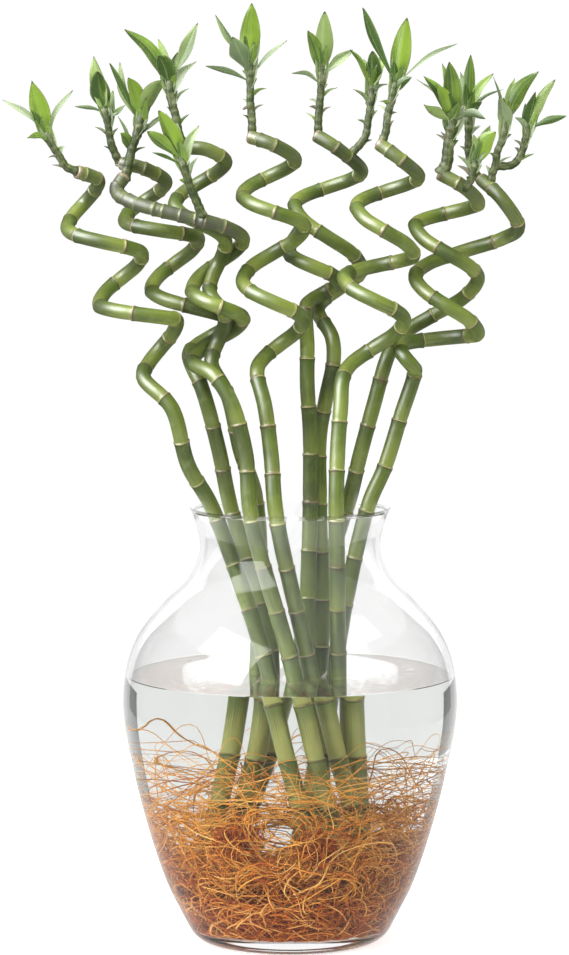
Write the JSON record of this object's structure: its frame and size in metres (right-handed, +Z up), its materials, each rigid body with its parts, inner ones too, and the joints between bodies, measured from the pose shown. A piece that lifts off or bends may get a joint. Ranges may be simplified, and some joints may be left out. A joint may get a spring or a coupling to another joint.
{
  "type": "lucky bamboo in a glass vase",
  "caption": "Lucky bamboo: curled green canes with leafy shoots and matted orange roots, standing in water in a clear glass vase with a flared rim.",
  "frame": {"origin": "centre of the vase's flat underside", "axes": "+Z up, +X to the right across the fan of canes seen from the front, +Y to the back"},
  "size_m": [0.3571, 0.2144, 0.6],
  "materials": {
    "glass": "gloss",
    "water": "gloss",
    "root": "matte",
    "cane": "satin",
    "leaf": "satin"
  },
  "bodies": {
    "root": {"vase": "glass", "water": "water", "roots": "root", "cane_01": "cane", "cane_02": "cane", "cane_03": "cane", "cane_04": "cane", "cane_05": "cane", "cane_06": "cane", "cane_07": "cane", "cane_08": "cane", "cane_09": "cane", "cane_10": "cane", "shoot_01": "leaf", "shoot_02": "leaf", "shoot_03": "leaf", "shoot_04": "leaf", "shoot_05": "leaf", "shoot_06": "leaf", "shoot_07": "leaf", "shoot_08": "leaf", "shoot_09": "leaf", "shoot_10": "leaf", "shoot_11": "leaf", "shoot_12": "leaf", "shoot_13": "leaf", "shoot_14": "leaf"}
  },
  "joints": []
}
